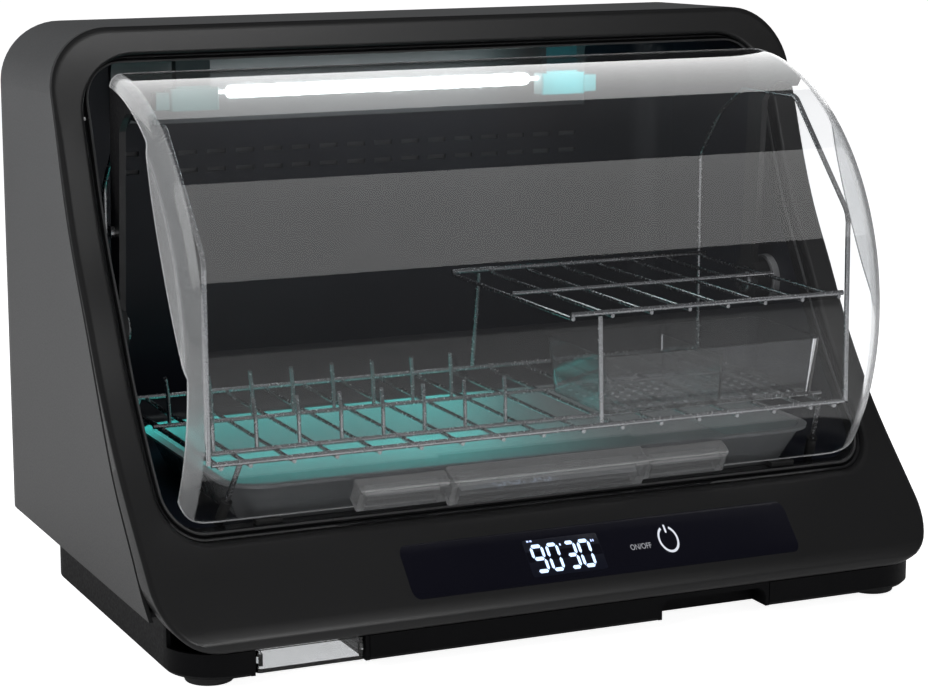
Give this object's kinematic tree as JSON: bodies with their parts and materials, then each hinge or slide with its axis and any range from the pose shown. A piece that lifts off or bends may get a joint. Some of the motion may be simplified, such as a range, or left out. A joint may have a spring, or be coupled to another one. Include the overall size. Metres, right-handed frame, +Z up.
{
  "type": "dish sterilizer cabinet",
  "caption": "Countertop dish drying and sterilising cabinet with a clear roll-back lid over a wire rack, an ultraviolet lamp, a slanted touch panel and a small water drawer in the plinth.",
  "frame": {"origin": "middle of the footprint, on the surface the feet stand on", "axes": "+X to the right seen from the front, +Y to the back, +Z up; the lid and the touch panel face -Y"},
  "size_m": [0.503, 0.345, 0.3513],
  "materials": {
    "shell_paint": "satin, fine grained dark grey",
    "cover_paint": "satin dark grey",
    "screw_steel": "plain turned",
    "frame_satin": "satin near black",
    "window_gloss": "dark tinted, polished",
    "rim_gloss": "polished black",
    "seal_rubber": "soft, dark",
    "liner_dark": "satin dark blue black",
    "arm_black": "matte black",
    "lid_clear": "clear, polished",
    "handle_clear": "smoky clear, polished",
    "bush_plastic": "plain moulded",
    "magnet_metal": "plated",
    "foot_rubber": "matte black",
    "lamp_glass": "clear tube",
    "socket_plastic": "moulded grey",
    "reflector_metal": "bright rolled sheet",
    "lead_sleeve": "insulated lead",
    "tray_smoke": "smoky translucent",
    "rack_wire": "polished wire",
    "box_clear": "clear",
    "base_black": "near black",
    "rotor_plastic": "moulded",
    "motor_steel": "pressed can",
    "duct_metal": "folded sheet",
    "part_black": "moulded black",
    "filter_mesh": "open mesh",
    "board_green": "laminate"
  },
  "bodies": {
    "cabinet": {"outer_shell": "shell_paint", "rear_cover": "cover_paint", "rear_screws": "screw_steel", "front_frame": "frame_satin", "control_window": "window_gloss", "opening_rim": "rim_gloss", "lid_seal": "seal_rubber", "chamber_liner": "liner_dark", "floor_grille": "arm_black", "hinge_bush_left": "bush_plastic", "hinge_bush_right": "bush_plastic", "lid_bumpers": "foot_rubber", "uv_lamp_tube": "lamp_glass", "lamp_socket_left": "socket_plastic", "lamp_socket_right": "socket_plastic", "lamp_reflector": "reflector_metal", "reflector_studs": "socket_plastic", "lamp_lead": "lead_sleeve", "drip_tray": "tray_smoke", "rack_base": "rack_wire", "rack_legs": "rack_wire", "rack_feet": "foot_rubber", "rack_tines": "rack_wire", "rack_side_left": "rack_wire", "rack_side_right": "rack_wire", "bowl_shelf": "rack_wire", "shelf_legs": "rack_wire", "cutlery_tray": "box_clear", "base_plinth": "base_black", "base_bays": "base_black", "rubber_feet": "foot_rubber", "foot_screws": "screw_steel", "bottom_pan": "cover_paint", "drawer_rails": "arm_black", "drain_spout": "arm_black", "blower_housing": "socket_plastic", "blower_motor": "motor_steel", "heater_duct": "duct_metal", "heater_element": "reflector_metal", "thermal_cutout": "part_black", "intake_filter": "filter_mesh", "power_board": "board_green", "board_standoffs": "bush_plastic", "board_components": "part_black", "uv_ballast": "socket_plastic", "terminal_block": "socket_plastic", "display_module": "part_black", "control_board": "board_green", "touch_pad": "part_black", "reed_switch": "part_black", "cord_gland": "seal_rubber"},
    "lid_body": {"lid": "lid_clear", "lid_handle": "handle_clear", "lid_arm_left": "arm_black", "lid_arm_right": "arm_black", "hinge_pin_left": "screw_steel", "hinge_pin_right": "screw_steel", "lid_magnet": "magnet_metal"},
    "drawer": {"water_drawer": "box_clear"},
    "fan": {"fan_rotor": "rotor_plastic"}
  },
  "joints": [
    {"name": "lid_hinge", "type": "hinge", "parent": "cabinet", "child": "lid_body", "pos_m": [0, 0.0107, 0.1723], "axis": [-1, 0, 0], "range_deg": [0, 105]},
    {"name": "drawer_slide", "type": "slide", "parent": "cabinet", "child": "drawer", "axis": [0, -1, 0], "range_m": [0, 0.095]},
    {"name": "fan_spin", "type": "hinge", "parent": "cabinet", "child": "fan", "pos_m": [0.062, -0.02, 0.04], "axis": [0, 0, 1], "continuous": true}
  ]
}
